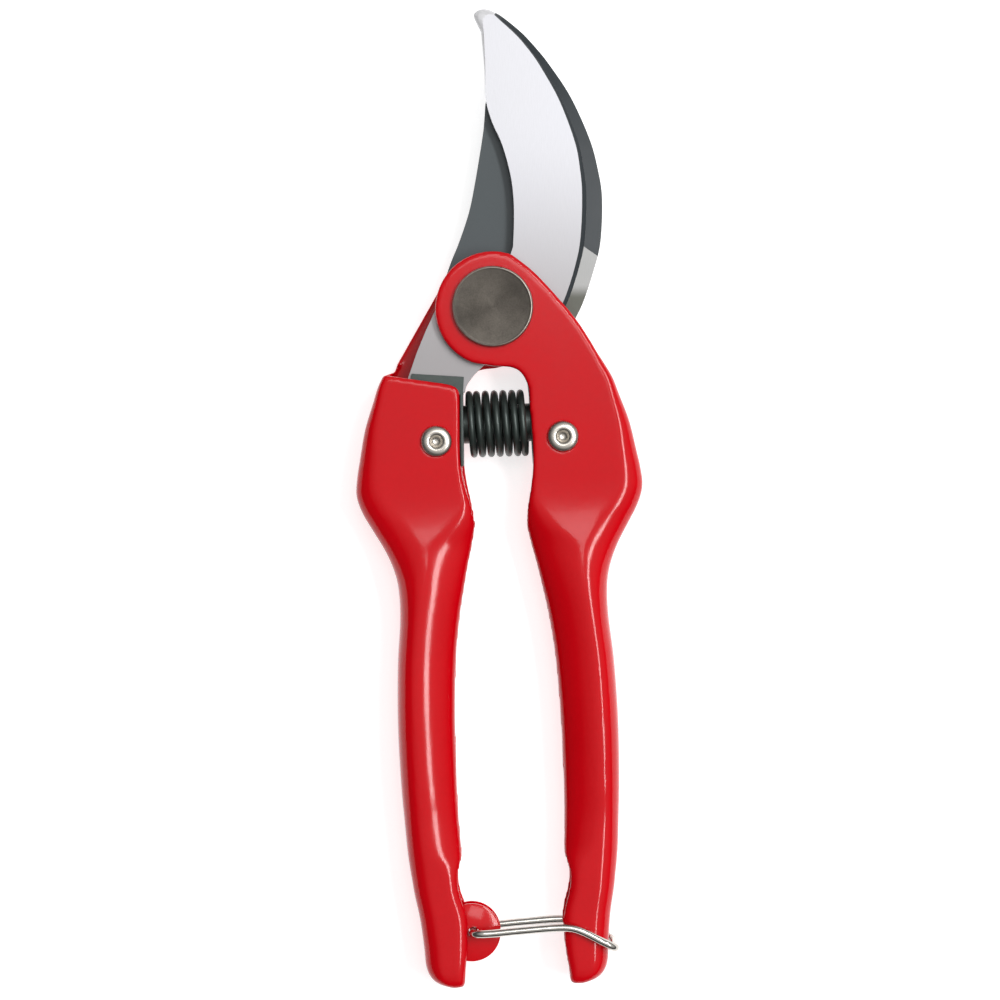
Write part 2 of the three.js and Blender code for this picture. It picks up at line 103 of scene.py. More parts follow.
# Y, outer edge X, inner edge X, half depth, outer corner's width and depth, inner corner's width
# and depth, how far the lips are rolled in
HANDLE_ROWS = [
    (-9.8, 22.5, 8.3, 6.0, 0.9, 1.9, 0.3, 0.3, 0),
    (-14.6, 25.5, 8.0, 6.0, 1.1, 2.2, 0.3, 0.3, 0),
    (-18.5, 27.1, 7.8, 6.0, 1.7, 2.6, 0.3, 0.3, 0),
    (-24.2, 29.3, 8.17, 6.0, 2.7, 3.1, 0.3, 0.3, 0),
    (-30.6, 30.9, 8.6, 6.0, 3.8, 3.6, 0.3, 0.3, 0),
    (-34.5, 31.8, 8.55, 6.0, 4.5, 3.9, 0.4, 0.4, 0),
    (-38.2, 32.2, 8.2, 6.0, 5.4, 4.2, 0.9, 0.6, 0),
    (-42.0, 31.2, 7.55, 6.1, 6.5, 4.6, 2.4, 1.2, 0.15),
    (-46.0, 29.2, 7.15, 6.35, 7.8, 5.0, 6.0, 3.2, 0.5),
    (-50.5, 26.9, 8.15, 6.75, 8.0, 5.4, 9.8, 4.9, 0.85),
    (-55.0, 25.3, 9.4, 7.05, 6.5, 5.8, 9.3, 5.4, 1),
    (-59.5, 24.65, 10.5, 7.2, 5.2, 6.0, 8.8, 5.6, 1),
    (-66.0, 24.9, 12.0, 7.2, 4.3, 6.0, 8.5, 5.7, 1),
    (-75.4, 26.1, 13.5, 7.1, 4.2, 6.0, 8.2, 5.6, 1),
    (-88.2, 27.0, 14.6, 6.9, 4.2, 5.8, 7.8, 5.4, 1),
    (-101.0, 27.25, 15.2, 6.4, 4.1, 5.4, 7.5, 4.9, 1),
    (-109.0, 27.1, 15.4, 5.75, 4.0, 4.8, 7.2, 4.3, 1),
    (-115.0, 26.95, 15.3, 5.7, 4.2, 4.6, 6.6, 3.9, 0.9),
    (-118.0, 26.75, 15.5, 5.7, 4.3, 4.4, 4.8, 2.8, 0.4),
    (-121.0, 26.45, 16.4, 5.7, 4.2, 4.2, 3.0, 1.7, 0),
    (-124.5, 26.1, 16.3, 5.7, 4.1, 4.1, 2.8, 1.6, 0),
    (-130.0, 25.3, 15.1, 5.7, 4.0, 4.0, 2.8, 1.6, 0),
    (-136.0, 24.9, 15.4, 5.7, 4.0, 4.0, 2.6, 1.6, 0),
    (-140.0, 24.75, 15.95, 5.7, 3.8, 4.0, 2.4, 1.6, 0),
    (-142.4, 23.9, 16.4, 5.5, 3.2, 3.8, 1.8, 1.6, 0),
    (-143.9, 22.3, 16.6, 5.0, 2.4, 3.4, 1.2, 1.4, 0),
    (-144.8, 19.6, 17.0, 4.2, 0.9, 1.4, 0.7, 0.9, 0),
]
ROW_STEPS = 6
# plans of what is cut away at the handle's top: its back, where the other handle crosses, and its web
BACK_CUT = [
    (0, -18.6), (8.2, -18.6), (8.45, -17.5), (9.2, -16.5), (10.6, -15.8), (23.8, -12.9), (30, -11.7),
    (30, 0), (0, 0),
]
WEB_CUT = [(0, -10.4), (30, -10.4), (30, 0), (0, 0)]
# plan of what is trimmed off the left handle's arm, where it leaves the ring, in right-hand places
LEFT_SHOULDER = [
    (11.9, 4.2), (21.7, -10.5), (22.1, -12.0), (24.2, -12.5), (30.0, -11.7), (30.0, 8.0), (11.9, 8.0),
]

# the jaws' plans in stretches: the hooked jaw's run clockwise, the blade's the other way round
HOOK_TIP = [(-2.5, 59.4), (-3.9, 62.2), (-4.0, 63.2), (-2.9, 64.05), (-1.2, 64.13), (0.6, 63.4)]
HOOK_SPINE = [
    (0.6, 63.4), (2.3, 62.35), (6.25, 59.1), (9.45, 55.65), (12.2, 52.2), (16.7, 45.4), (20.7, 36.6),
    (22.5, 30.2), (23.5, 23.6), (23.15, 14.2), (21.6, 7.8), (19.5, 1.4), (17.7, -2.4),
]
# width of the spine's bevel, point for point with HOOK_SPINE
HOOK_STRIP = [0.75, 1.1, 1.4, 1.65, 2.0, 2.65, 3.3, 3.85, 4.35, 4.4, 4.1, 4.0, 3.9]
# where the flat face ends round the tip, point for point with HOOK_TIP
HOOK_FLAT_TIP = [(-1.95, 59.4), (-2.15, 61.1), (-2.0, 61.9), (-1.6, 62.45), (-0.9, 62.8), (0.2, 62.76)]
HOOK_BEVEL_FROM = 1.7  # the height at which the spine's bevel starts
HOOK_EASED_FROM = 46  # from here to the tip the edge is rounded over, by HOOK_EASE at the most
HOOK_EASE = 0.55
# ends of the line that parts the spine's dark coating from its ground heel
HEEL_LINE = ((18.4, 13.9), (22.6, 11.1))
HOOK_HEEL = [(15.0, -5.0), (11.0, -7.2), (7.3, -8.9), (2.9, -11.0), (-1.0, -11.4)]
HOOK_BACK = [(-11.75, 0.6), (-10.7, 4.4), (-8.0, 8.0), (-3.6, 10.4), (1.4, 10.8), (3.7, 11.0)]
HOOK_EDGE = [
    (4.35, 13.0), (4.55, 18.0), (4.45, 23.4), (3.75, 28.7), (2.0, 35.0), (-0.2, 40.0), (-1.5, 45.0),
    (-1.85, 52.0), (-2.5, 59.4),
]
BLADE_EDGE = [
    (12.4, 4.6), (14.0, 10.0), (14.7, 16.0), (14.6, 21.5), (13.2, 27.5), (10.4, 33.5), (6.4, 39.5),
    (2.4, 43.8), (-0.9, 46.4),
]
# width of the ground bevel under the edge, point for point with BLADE_EDGE
BLADE_BEVEL = [1.2, 3.2, 4.6, 5.0, 4.8, 4.2, 3.2, 1.9, 0.4]
BLADE_BEVEL_TOP = -0.3
BLADE_SPINE = [
    (-1.6, 44.0), (-2.0, 38.5), (-2.75, 33.4), (-3.8, 27.2), (-5.1, 20.8), (-7.2, 14.4), (-9.2, 9.4),
    (-11.0, 3.6), (-11.4, -1.2), (-10.2, -5.4), (-7.2, -9.0), (-3.0, -11.1),
]
TANG = [
    (8.5, -18.05), (9.42, -34.2), (9.6, -38.0), (11.2, -40.6), (14.5, -41.6), (18.2, -40.4),
    (20.2, -36.5), (20.6, -28.0), (19.6, -19.0), (19.3, -14.0), (17.0, -8.6), (14.65, -3.9),
]
HOOK_THROAT = [(1.84, -11.3), (5.0, -14.0), (6.8, -16.2), (7.3, -17.6)]
BLADE_THROAT = [(2.6, -11.2), (5.9, -13.0), (7.5, -15.4), (8.3, -17.7)]

# ---------------------------------------------------------------- places
LIFT = Matrix.Translation((0, 0, MID_HEIGHT * MM))
TURNED_OVER = LIFT @ Matrix.Rotation(LEFT_TURN, 4, "Z") @ Matrix.Rotation(math.pi, 4, "Y")


def on_left(point):
    """A right-hand point in plan, turned over to the left half."""
    x, y = -point[0], point[1]
    c, s = math.cos(LEFT_TURN), math.sin(LEFT_TURN)
    return (x * c - y * s, x * s + y * c)


# ---------------------------------------------------------------- materials
FINE_SHARE = 0.45  # how much of a finish's variation is fine grain; the rest is slow patches
COLOUR_SPAN = (0.35, 0.65)  # the part of that variation over which the colour changes
ROUGH_SPAN = (0.3, 0.7)  # and the roughness
COAT_ROUGHNESS = 0.06


def colour(r, g, b):
    """Display colour, 0 to 255, as linear light."""
    shares = (c / 255 for c in (r, g, b))
    return tuple(c / 12.92 if c <= 0.04 else ((c + 0.055) / 1.055) ** 2.4 for c in shares) + (1,)


def add_node(tree, kind, values=()):
    """Shader node of a kind, with values for its inputs by name."""
    node = tree.nodes.new("ShaderNode" + kind)
    for name, value in dict(values).items():
        node.inputs[name].default_value = value
    return node


def in_millimetres(tree, stretch=(1, 1, 1), turn=0.0):
    """An object's own coordinates in millimetres, stretched, and turned about Z."""
    where = add_node(tree, "TexCoord")
    scale = add_node(tree, "Mapping", {"Scale": tuple(s / MM for s in stretch), "Rotation": (0, 0, turn)})
    tree.links.new(where.outputs["Object"], scale.inputs["Vector"])
    return scale.outputs["Vector"]


def noise(tree, vector, size, detail):
    node = add_node(tree, "TexNoise", {"Scale": size, "Detail": detail})
    tree.links.new(vector, node.inputs["Vector"])
    return node.outputs["Fac"]


def maths(tree, operation, *terms):
    """Result of an operation on sockets and plain numbers."""
    node = tree.nodes.new("ShaderNodeMath")
    node.operation = operation
    for term, socket in zip(terms, node.inputs):
        if isinstance(term, float):
            socket.default_value = term
        else:
            tree.links.new(term, socket)
    return node.outputs["Value"]


def remap(tree, value, span, onto=(0, 1)):
    """Node that takes a value from one span onto another and holds it at the ends."""
    node = add_node(tree, "MapRange", {
        "From Min": span[0], "From Max": span[1], "To Min": onto[0], "To Max": onto[1],
    })
    tree.links.new(value, node.inputs["Value"])
    return node


def relief(tree, height, strength, depth):
    """Bumps a finish by a height, on top of what bumps it already. depth is in millimetres."""
    normal = tree.nodes["Principled BSDF"].inputs["Normal"]
    bump = add_node(tree, "Bump", {"Strength": strength, "Distance": depth * MM})
    tree.links.new(height, bump.inputs["Height"])
    if normal.is_linked:
        tree.links.new(normal.links[0].from_socket, bump.inputs["Normal"])
    tree.links.new(bump.outputs["Normal"], normal)


def surface(name, base, second, metallic=0.0, roughness=(0.3, 0.4), stretch=(1, 1, 1), patch=0.25,
            grain=4.0, bump=0.1, depth=0.02, coat=0.0, specular=0.5, turn=0.0):
    """Material with slow colour patches and fine grain in its colour, roughness and relief.
    patch and grain are in features per millimetre, depth in millimetres."""
    made = bpy.data.materials.new(name)
    made.use_nodes = True
    tree = made.node_tree
    shader = tree.nodes["Principled BSDF"]
    shader.inputs["Metallic"].default_value = metallic
    shader.inputs["Specular IOR Level"].default_value = specular
    shader.inputs["Coat Weight"].default_value = coat
    shader.inputs["Coat Roughness"].default_value = COAT_ROUGHNESS
    slow = noise(tree, in_millimetres(tree), patch, 3)
    fine = noise(tree, in_millimetres(tree, stretch, turn), grain, 5)
    mixed = maths(tree, "MULTIPLY_ADD", fine, FINE_SHARE, maths(tree, "MULTIPLY", slow, 1 - FINE_SHARE))
    ramp = tree.nodes.new("ShaderNodeValToRGB")
    for end, position, tint in zip(ramp.color_ramp.elements, COLOUR_SPAN, (base, second)):
        end.position = position
        end.color = tint
    tree.links.new(mixed, ramp.inputs["Fac"])
    tree.links.new(ramp.outputs["Color"], shader.inputs["Base Color"])
    rough = remap(tree, mixed, ROUGH_SPAN, roughness)
    tree.links.new(rough.outputs["Result"], shader.inputs["Roughness"])
    relief(tree, fine, bump, depth)
    return made


def paint_shade_along_y(made, low, high, tint):
    """Paints shade into a finish: turns it to another colour towards the low end of a stretch along Y, in
    millimetres.
    """
    tree = made.node_tree
    colour_input = tree.nodes["Principled BSDF"].inputs["Base Color"]
    where = add_node(tree, "TexCoord")
    split = add_node(tree, "SeparateXYZ")
    tree.links.new(where.outputs["Object"], split.inputs[0])
    share = remap(tree, split.outputs["Y"], (low * MM, high * MM))
    share.interpolation_type = "SMOOTHSTEP"
    mix = add_node(tree, "Mix")
    mix.data_type = "RGBA"
    mix.inputs["A"].default_value = tint
    tree.links.new(share.outputs["Result"], mix.inputs["Factor"])
    tree.links.new(colour_input.links[0].from_socket, mix.inputs["B"])
    tree.links.new(mix.outputs["Result"], colour_input)


def spun(made):
    """Lathe marks: fine rings round the pivot axis and reflections drawn out across them."""
    tree = made.node_tree
    shader = tree.nodes["Principled BSDF"]
    shader.inputs["Anisotropic"].default_value = 0.65
    tangent = add_node(tree, "Tangent")
    tangent.direction_type = "RADIAL"
    tangent.axis = "Z"
    tree.links.new(tangent.outputs["Tangent"], shader.inputs["Tangent"])
    rings = add_node(tree, "TexWave", {"Scale": 0.9, "Distortion": 0.3, "Detail": 3})
    rings.wave_type = "RINGS"
    rings.rings_direction = "Z"
    tree.links.new(in_millimetres(tree), rings.inputs["Vector"])
    relief(tree, rings.outputs["Fac"], 0.25, 0.01)


enamel = surface("red_enamel", colour(207, 2, 17), colour(201, 0, 14), 0, (0.11, 0.17), patch=0.06,
                 grain=0.9, bump=0.05, depth=0.05, coat=0.1, specular=0.25)
ground = surface("ground_steel", colour(194, 194, 198), colour(206, 206, 211), 0.45, (0.34, 0.46),
                 stretch=(5, 0.25, 1), patch=0.05, grain=1.6, bump=0.12, depth=0.02, turn=0.2)
# painted shade: the ground steel darkens towards the tang, at the low end of the jaws
paint_shade_along_y(ground, -14, 40, colour(152, 149, 150))
heel = surface("bright_ground_steel", colour(140, 140, 139), colour(152, 152, 151), 0.35, (0.42, 0.52),
               stretch=(4, 0.4, 1), patch=0.3, grain=1.6, bump=0.08, depth=0.015)
# painted shade: the bright heel and the blade's under bevel darken towards their low end
paint_shade_along_y(heel, 2.0, 5.2, colour(76, 77, 69))
nose_steel = surface("dull_ground_steel", colour(214, 214, 216), colour(224, 224, 226), 0.1, (0.45, 0.55),
                     patch=0.3, grain=2, bump=0.1, depth=0.02)
# lighter metal for rounded edges: partly wear, partly a painted highlight along the edges and round the bolt
# head's rim
worn_highlit = surface("worn_and_highlit_edge", colour(132, 124, 116), colour(154, 146, 138), 0.8, (0.25, 0.4), patch=0.4,
               grain=3, bump=0.1, depth=0.02)
coated = surface("dark_coating", colour(62, 70, 73), colour(69, 76, 79), 0.1, (0.42, 0.52), patch=0.12,
                 grain=5, bump=0.12, depth=0.015, specular=0.5)
crown = surface("dark_coating_on_crown", colour(39, 45, 49), colour(46, 52, 56), 0.1, (0.42, 0.52),
                patch=0.12, grain=5, bump=0.12, depth=0.015, specular=0.4)
turned = surface("turned_steel", colour(80, 75, 69), colour(66, 62, 57), 0.85, (0.3, 0.42), patch=0.2,
                 grain=3, bump=0.1, depth=0.02)
plated = surface("bright_plate", colour(208, 205, 198), colour(190, 187, 180), 1.0, (0.1, 0.18), patch=0.4,
                 grain=3, bump=0.04, depth=0.02)
rivet_metal = surface("satin_plate", colour(206, 200, 191), colour(190, 184, 175), 1.0, (0.24, 0.32),
                      patch=0.4, grain=3, bump=0.04, depth=0.02)
blackened = surface("blackened_steel", colour(44, 54, 51), colour(58, 68, 64), 0.5, (0.3, 0.42), patch=0.5,
                    grain=4, bump=0.1, depth=0.02, specular=0.9)
dull = surface("dull_steel", colour(74, 76, 78), colour(92, 93, 94), 0.7, (0.45, 0.6), patch=0.3, grain=4,
               bump=0.15, depth=0.03)
bronze = surface("washer_bronze", colour(160, 128, 76), colour(136, 108, 66), 0.9, (0.32, 0.45), patch=0.4,
                 grain=3, bump=0.1, depth=0.02)
spun(turned)


# ---------------------------------------------------------------- curves and meshes
def spline(rows, steps):
    """Smooth curve through rows of numbers, steps points to a span."""
    rows = np.array(rows, float)
    last = len(rows) - 1
    out = []
    for i in range(last):
        a, b, c, d = rows[max(i - 1, 0)], rows[i], rows[i + 1], rows[min(i + 2, last)]
        v0, v1 = (c - a) / 2, (d - b) / 2
        for t in np.arange(steps) / steps:
            out.append((2 * b - 2 * c + v0 + v1) * t**3 + (3 * c - 3 * b - 2 * v0 - v1) * t**2 + v0 * t + b)
    out.append(rows[-1])
    return np.array(out)


def smooth_path(points, steps):
    """Curve through points in space, steps points to a span. Each span's pull follows the root of its
    length, so that the curve doesn't overshoot where points lie close together."""
    points = [Vector(p) for p in points]
    last = len(points) - 1
    path = []
    for i in range(last):
        a, b, c, d = points[max(i - 1, 0)], points[i], points[i + 1], points[min(i + 2, last)]
        before, here, after = (max((q - p).length ** 0.5, 1e-4) for p, q in ((a, b), (b, c), (c, d)))
        if i == 0:
            before = here
        if i == last - 1:
            after = here
        v0 = ((b - a) / before - (c - a) / (before + here) + (c - b) / here) * here
        v1 = ((c - b) / here - (d - b) / (here + after) + (d - c) / after) * here
        for k in range(steps):
            t = k / steps
            path.append((2 * b - 2 * c + v0 + v1) * t**3 + (3 * c - 3 * b - 2 * v0 - v1) * t**2 + v0 * t + b)
    return path + [points[-1]]


def arc(cx, cy, radius, start, stop, steps, depth=None):
    """Points round part of a circle, or of an ellipse where depth is given, from start to stop degrees."""
    angles = np.radians(np.linspace(start, stop, steps + 1))
    depth = radius if depth is None else depth
    return np.column_stack((cx + radius * np.cos(angles), cy + depth * np.sin(angles)))


def corner(cx, cy, wide, deep, start, steps, ridge):
    """Quarter turn from start degrees: an ellipse where ridge is 1, and above 1 it leaves the crown more
    steeply."""
    angles = np.radians(np.linspace(start, start + 90, steps + 1))
    c, s = np.cos(angles), np.sin(angles)
    return np.column_stack((cx + wide * np.sign(c) * np.abs(c) ** ridge, cy + deep * s))


def mesh_object(name, verts, faces, place=LIFT, slots=None):
    """Object from points in millimetres. place turns and moves them; the object stays at the origin."""
    mesh = bpy.data.meshes.new(name)
    mesh.from_pydata([tuple(v) for v in np.array(verts, float) * MM], [], faces)
    if slots is not None:
        mesh.polygons.foreach_set("material_index", slots)
    work = bmesh.new()
    work.from_mesh(mesh)
    bmesh.ops.recalc_face_normals(work, faces=work.faces)
    work.transform(place)
    work.to_mesh(mesh)
    work.free()
    obj = bpy.data.objects.new(name, mesh)
    bpy.context.scene.collection.objects.link(obj)
    return obj


def loft(name, loops, place=LIFT, slot_of=None):
    """Closed body through loops of equal count. slot_of(i, j) gives a side face's material slot."""
    count = len(loops[0])
    faces, slots = [], []
    for i in range(len(loops) - 1):
        for j in range(count):
            k = (j + 1) % count
            faces.append((i * count + j, i * count + k, (i + 1) * count + k, (i + 1) * count + j))
            slots.append(slot_of(i, j) if slot_of else 0)
    faces.append(tuple(range(count)))
    faces.append(tuple(range((len(loops) - 1) * count, len(loops) * count)))
    return mesh_object(name, np.concatenate(loops), faces, place, slots + [0, 0])


def flat_loops(levels):
    return [np.column_stack((np.array(line)[:, :2], np.full(len(line), z))) for z, line in levels]


def slab(name, outline, low, high, place=LIFT):
    return loft(name, flat_loops([(low, outline), (high, outline)]), place)


def disc(name, radius, low, high, at=(0, 0), place=LIFT, steps=72):
    return slab(name, arc(at[0], at[1], radius, 0, 360, steps)[:-1], low, high, place)


def lathe(name, profile, at=(0, 0), place=LIFT, steps=120):
    """Body of revolution about a vertical axis from (radius, height) pairs. A profile that starts on the
    axis makes a closed body, any other a ring."""
    profile = np.array(profile, float)
    ring = profile[0][0] > 0
    inner = profile if ring else profile[1:-1]
    verts, faces = [], []
    for angle in np.linspace(0, 2 * math.pi, steps, endpoint=False):
        c, s = math.cos(angle), math.sin(angle)
        verts += [(at[0] + r * c, at[1] + r * s, z) for r, z in inner]
    n = len(inner)
    for i in range(steps):
        k = (i + 1) % steps
        for j in range(n if ring else n - 1):
            m = (j + 1) % n
            faces.append((i * n + j, k * n + j, k * n + m, i * n + m))
    if not ring:
        for z, j in ((profile[0][1], 0), (profile[-1][1], n - 1)):
            verts.append((at[0], at[1], z))
            centre = len(verts) - 1
            faces += [(centre, ((i + 1) % steps) * n + j, i * n + j) for i in range(steps)]
    return mesh_object(name, verts, faces, place)


def rounded(profile, radius=0.15, steps=3):
    """A lathe profile with its inner corners rounded off."""
    profile = [Vector(p) for p in profile]
    out = [profile[0]]
    for before, here, after in zip(profile, profile[1:], profile[2:]):
        reach = min(radius, (before - here).length * 0.45, (after - here).length * 0.45)
        a = here + (before - here).normalized() * reach
        b = here + (after - here).normalized() * reach
        for i in range(steps + 1):
            t = i / steps
            out.append(a * (1 - t) ** 2 + here * 2 * t * (1 - t) + b * t**2)
    return [tuple(p) for p in out + [profile[-1]]]


def tube(name, path, radius, sides, place=LIFT):
    """Round wire along a path of points, its ends closed with a small dome."""
    path = np.array(path, float)
    along = np.gradient(path, axis=0)
    along /= np.linalg.norm(along, axis=1)[:, None]
    up = np.cross(along[0], (0.3, 0.2, 1.0))  # any direction across the wire will do to start from
    loops = []
    steps = np.linalg.norm(np.diff(path, axis=0), axis=1)
    run = np.concatenate(([0], np.cumsum(steps)))
    for point, ahead, done in zip(path, along, run):
        up = up - ahead * up.dot(ahead)
        up /= np.linalg.norm(up)
        side = np.cross(ahead, up)
        short = max(radius - min(done, run[-1] - done), 0)
        here = radius * max(math.sqrt(1 - (short / radius) ** 2), 0.35)
        turn = np.linspace(0, 2 * math.pi, sides, endpoint=False)
        loops.append(point + here * (np.outer(np.cos(turn), up) + np.outer(np.sin(turn), side)))
    return loft(name, loops, place)


def paint(obj, *materials):
    if materials and len(obj.data.materials):
        obj.data.materials.clear()
    for m in materials:
        obj.data.materials.append(m)
    return obj


def settle(obj):
    """Turns an object's modifiers into its mesh."""
    bpy.context.view_layer.update()
    graph = bpy.context.evaluated_depsgraph_get()
    mesh = bpy.data.meshes.new_from_object(obj.evaluated_get(graph))
    obj.modifiers.clear()
    obj.data = mesh
    mesh.name = obj.name
    return obj


def combine(obj, tool, operation="DIFFERENCE"):
    """Cuts a tool body out of an object, or joins it on, and uses the tool up."""
    modifier = obj.modifiers.new("combine", "BOOLEAN")
    modifier.object = tool
    modifier.operation = operation
    modifier.solver = "MANIFOLD"
    settle(obj)
    bpy.data.objects.remove(tool)
    return obj


def merge_flats(obj):
    """Joins the triangles that a cut leaves on a flat face, so that the face shades evenly."""
    work = bmesh.new()
    work.from_mesh(obj.data)
    bmesh.ops.dissolve_limit(work, angle_limit=math.radians(0.5), verts=work.verts, edges=work.edges,
                             delimit={"MATERIAL"})
    work.to_mesh(obj.data)
    work.free()
    return obj


def drop_slivers(obj):
    """Takes out the edges and faces of no size that a bevel leaves where cut lines meet."""
    work = bmesh.new()
    work.from_mesh(obj.data)
    bmesh.ops.dissolve_degenerate(work, dist=0.001 * MM, edges=work.edges)
    work.to_mesh(obj.data)
    work.free()
    return obj


def soften(obj, width, segments=2, angle=28, slot=-1):
    """Rounds the edges sharper than an angle. slot gives the rounded edges a material of their own."""
    modifier = obj.modifiers.new("edges", "BEVEL")
    modifier.width = width * MM
    modifier.segments = segments
    modifier.limit_method = "ANGLE"
    modifier.angle_limit = math.radians(angle)
    modifier.use_clamp_overlap = True
    modifier.material = slot
    return settle(obj)


def shade(obj, angle=32):
    """Smooth shading, with edges sharper than an angle kept crisp."""
    obj.data.polygons.foreach_set("use_smooth", [True] * len(obj.data.polygons))
    obj.data.set_sharp_from_angle(angle=math.radians(angle))
    modifier = obj.modifiers.new("normals", "WEIGHTED_NORMAL")
    modifier.keep_sharp = True
    return settle(obj)


def coat_all(obj, voxel, passes):
    """Closes the whole surface under one even skin with softly rounded edges, as a thick enamel does."""
    remesh = obj.modifiers.new("skin", "REMESH")
    remesh.mode = "VOXEL"
    remesh.voxel_size = voxel * MM
    remesh.use_smooth_shade = True
    smooth = obj.modifiers.new("relax", "SMOOTH")
    smooth.factor = 0.5
    smooth.iterations = passes
    settle(obj)
    obj.data.polygons.foreach_set("use_smooth", [True] * len(obj.data.polygons))
    return obj


# ---------------------------------------------------------------- pressed handles
def back_relief(y):
    return BACK_EDGE_RELIEF * min(max((y - RELIEF_FROM) / RELIEF_RUN, 0), 1)


def outside_loop(row):
    """Handle's outer section at a row of HANDLE_ROWS."""
    y, outer, inner, half, wide, deep, edge_wide, edge_deep, lip = row
    back = inner + back_relief(y)
    ridge = 1 + (RIDGE - 1) * min(max(lip, 0), 1)
    line = np.concatenate((
        arc(outer - wide, half - deep, wide, 0, 90, 16, deep),
        corner(inner + edge_wide, half - edge_deep, edge_wide, edge_deep, 90, 14, ridge),
        corner(back + edge_wide, edge_deep - half, edge_wide, edge_deep, 180, 14, ridge),
        arc(outer - wide, deep - half, wide, 270, 360, 16, deep),
    ))
    return np.column_stack((line[:, 0], np.full(len(line), y), line[:, 1]))


def hollow_loop(row):
    """Section of the cut that makes the handle a channel open towards its inner edge. Its lips are fully
    rolled in as soon as the outside's are half rolled, so that no lip ends in a feather edge."""
    y, outer, inner, half, wide, deep, edge_wide, edge_deep, lip = row
    lip = min(max(2 * lip, 0), 1)
    top = half - SHEET
    round_wide, round_deep = max(wide - SHEET, 0.6), max(deep - SHEET, 0.6)
    slot = top + (half - edge_deep - 0.2 - top) * lip
    rolled = corner(inner + edge_wide, half - edge_deep, max(edge_wide - SHEET, 0.1),
                    max(edge_deep - SHEET, 0.1), 90, 8, 1 + (RIDGE - 1) * lip)
    straight = np.column_stack((np.linspace(inner + edge_wide, inner - 2, 9), np.full(9, top)))
    side = straight + (rolled - straight) * lip
    side[:, 1] -= np.arange(9) * 0.0005
    front = np.concatenate((
        arc(outer - SHEET - round_wide, top - round_deep, round_wide, 0, 90, 10, round_deep),
        side,
        [(inner - 4, slot - 0.01)],
    ))
    line = np.concatenate((front, (front * (1, -1))[::-1]))
    return np.column_stack((line[:, 0], np.full(len(line), y), line[:, 1]))


def front_plate_outline():
    """Plan of the sheet that reaches from the handle to its ring round the pivot."""
    ring = arc(0, -0.4, RING_RADIUS, -107, -290, 90)
    return np.concatenate((
        spline([(8.0, -23), (7.75, -18.1), (7.2, -16.0), (5.9, -13.9), (3.8, -12.9), (0.4, -12.7)], 8),
        ring[1:-1],
        spline([(4.2, 11.1), (8.9, 7.4), (14.3, 1.6), (18.1, -3.0), (21.1, -7.6), (22.4, -9.9)], 8),
        [(22.9, -10.9), (24.0, -23)],
    ))


def pressed_handle(name, rivet_at, place, shoulder=None):
    """Channel with a plate and ring. Its back is cut away at the top, where the other handle crosses."""
    rows = spline(HANDLE_ROWS, ROW_STEPS)
    inside = [r for r in rows if r[0] > CAVITY_END]
    inside.insert(0, np.concatenate(([-5], rows[0][1:])))
    body = loft(name, [outside_loop(r) for r in rows], place)
    combine(body, loft("hollow", [hollow_loop(r) for r in inside], place))
    combine(body, slab("back_cut", BACK_CUT, -CLEAR, BACK_CUT_TOP, place))
    combine(body, slab("web_cut", WEB_CUT, WEB_CUT_BOTTOM, INNER_HALF, place))
    combine(body, slab("plate", front_plate_outline(), INNER_HALF, OUTER_HALF, place), "UNION")
    combine(body, disc("bore", RING_BORE, -CLEAR, CLEAR, place=place))
    combine(body, disc("hole", RIVET_HOLE, -CLEAR, CLEAR, rivet_at, place))
    if shoulder:
        combine(body, slab("shoulder", shoulder, -CLEAR, CLEAR, place))
    return coat_all(body, ENAMEL_VOXEL, ENAMEL_PASSES)


# ---------------------------------------------------------------- jaws
def inset(outline, distances):
    """A closed outline moved inwards, a different distance at each point. The outline runs clockwise."""
    line = np.array(outline, float)
    along = np.roll(line, -1, axis=0) - np.roll(line, 1, axis=0)
    along /= np.maximum(np.linalg.norm(along, axis=1), 1e-9)[:, None]
    return line + np.column_stack((along[:, 1], -along[:, 0])) * np.array(distances)[:, None]


# the hooked jaw's material slots
GROUND, HEEL, CROWN, WORN_AND_HIGHLIT, NOSE = range(5)


def hook_plan():
    """The hooked jaw's outline in four stretches: spine, heel round to back, edge, tip."""
    heel_to_back = np.concatenate((
        HOOK_HEEL,
        [on_left(p) for p in spline(HOOK_THROAT, 4)[1:]],
        [on_left(p) for p in TANG],
        spline(HOOK_BACK, 4),
    ))
    return spline(HOOK_SPINE, 8), heel_to_back, spline(HOOK_EDGE, 8), spline(HOOK_TIP, 4)[1:-1]


def hook_face(spine, rest, edge, tip):
    """Outline of the hooked jaw's flat face, inside the spine's bevel and the rounded edge and tip."""
    strip = spline([[w] for w in HOOK_STRIP], 8)[:, 0]
    eased = np.clip((edge[:, 1] - HOOK_EASED_FROM) / (HOOK_TIP[0][1] - HOOK_EASED_FROM), 0, 1) * HOOK_EASE
    widths = np.concatenate((strip, np.zeros(len(rest)), eased, np.zeros(len(tip))))
    face = inset(np.concatenate((spine, rest, edge, tip)), widths)
    face[-len(tip):] = spline(HOOK_FLAT_TIP, 4)[1:-1]
    return face


def part_heel(obj):
    """Cuts the spine's bright facet along HEEL_LINE and gives what lies above the line the crown's
    coating."""
    work = bmesh.new()
    work.from_mesh(obj.data)
    facet = [f for f in work.faces if f.material_index == HEEL]
    inner, outer = (Vector(p).to_3d() * MM for p in HEEL_LINE)
    across = (outer - inner).cross(Vector((0, 0, 1))).normalized()
    near = list({v for f in facet for v in f.verts}) + list({e for f in facet for e in f.edges}) + facet
    bmesh.ops.bisect_plane(work, geom=near, plane_co=inner, plane_no=across)
    for face in work.faces:
        if face.material_index == HEEL and (face.calc_center_median() - inner).dot(across) < 0:
            face.material_index = CROWN
    work.to_mesh(obj.data)
    work.free()


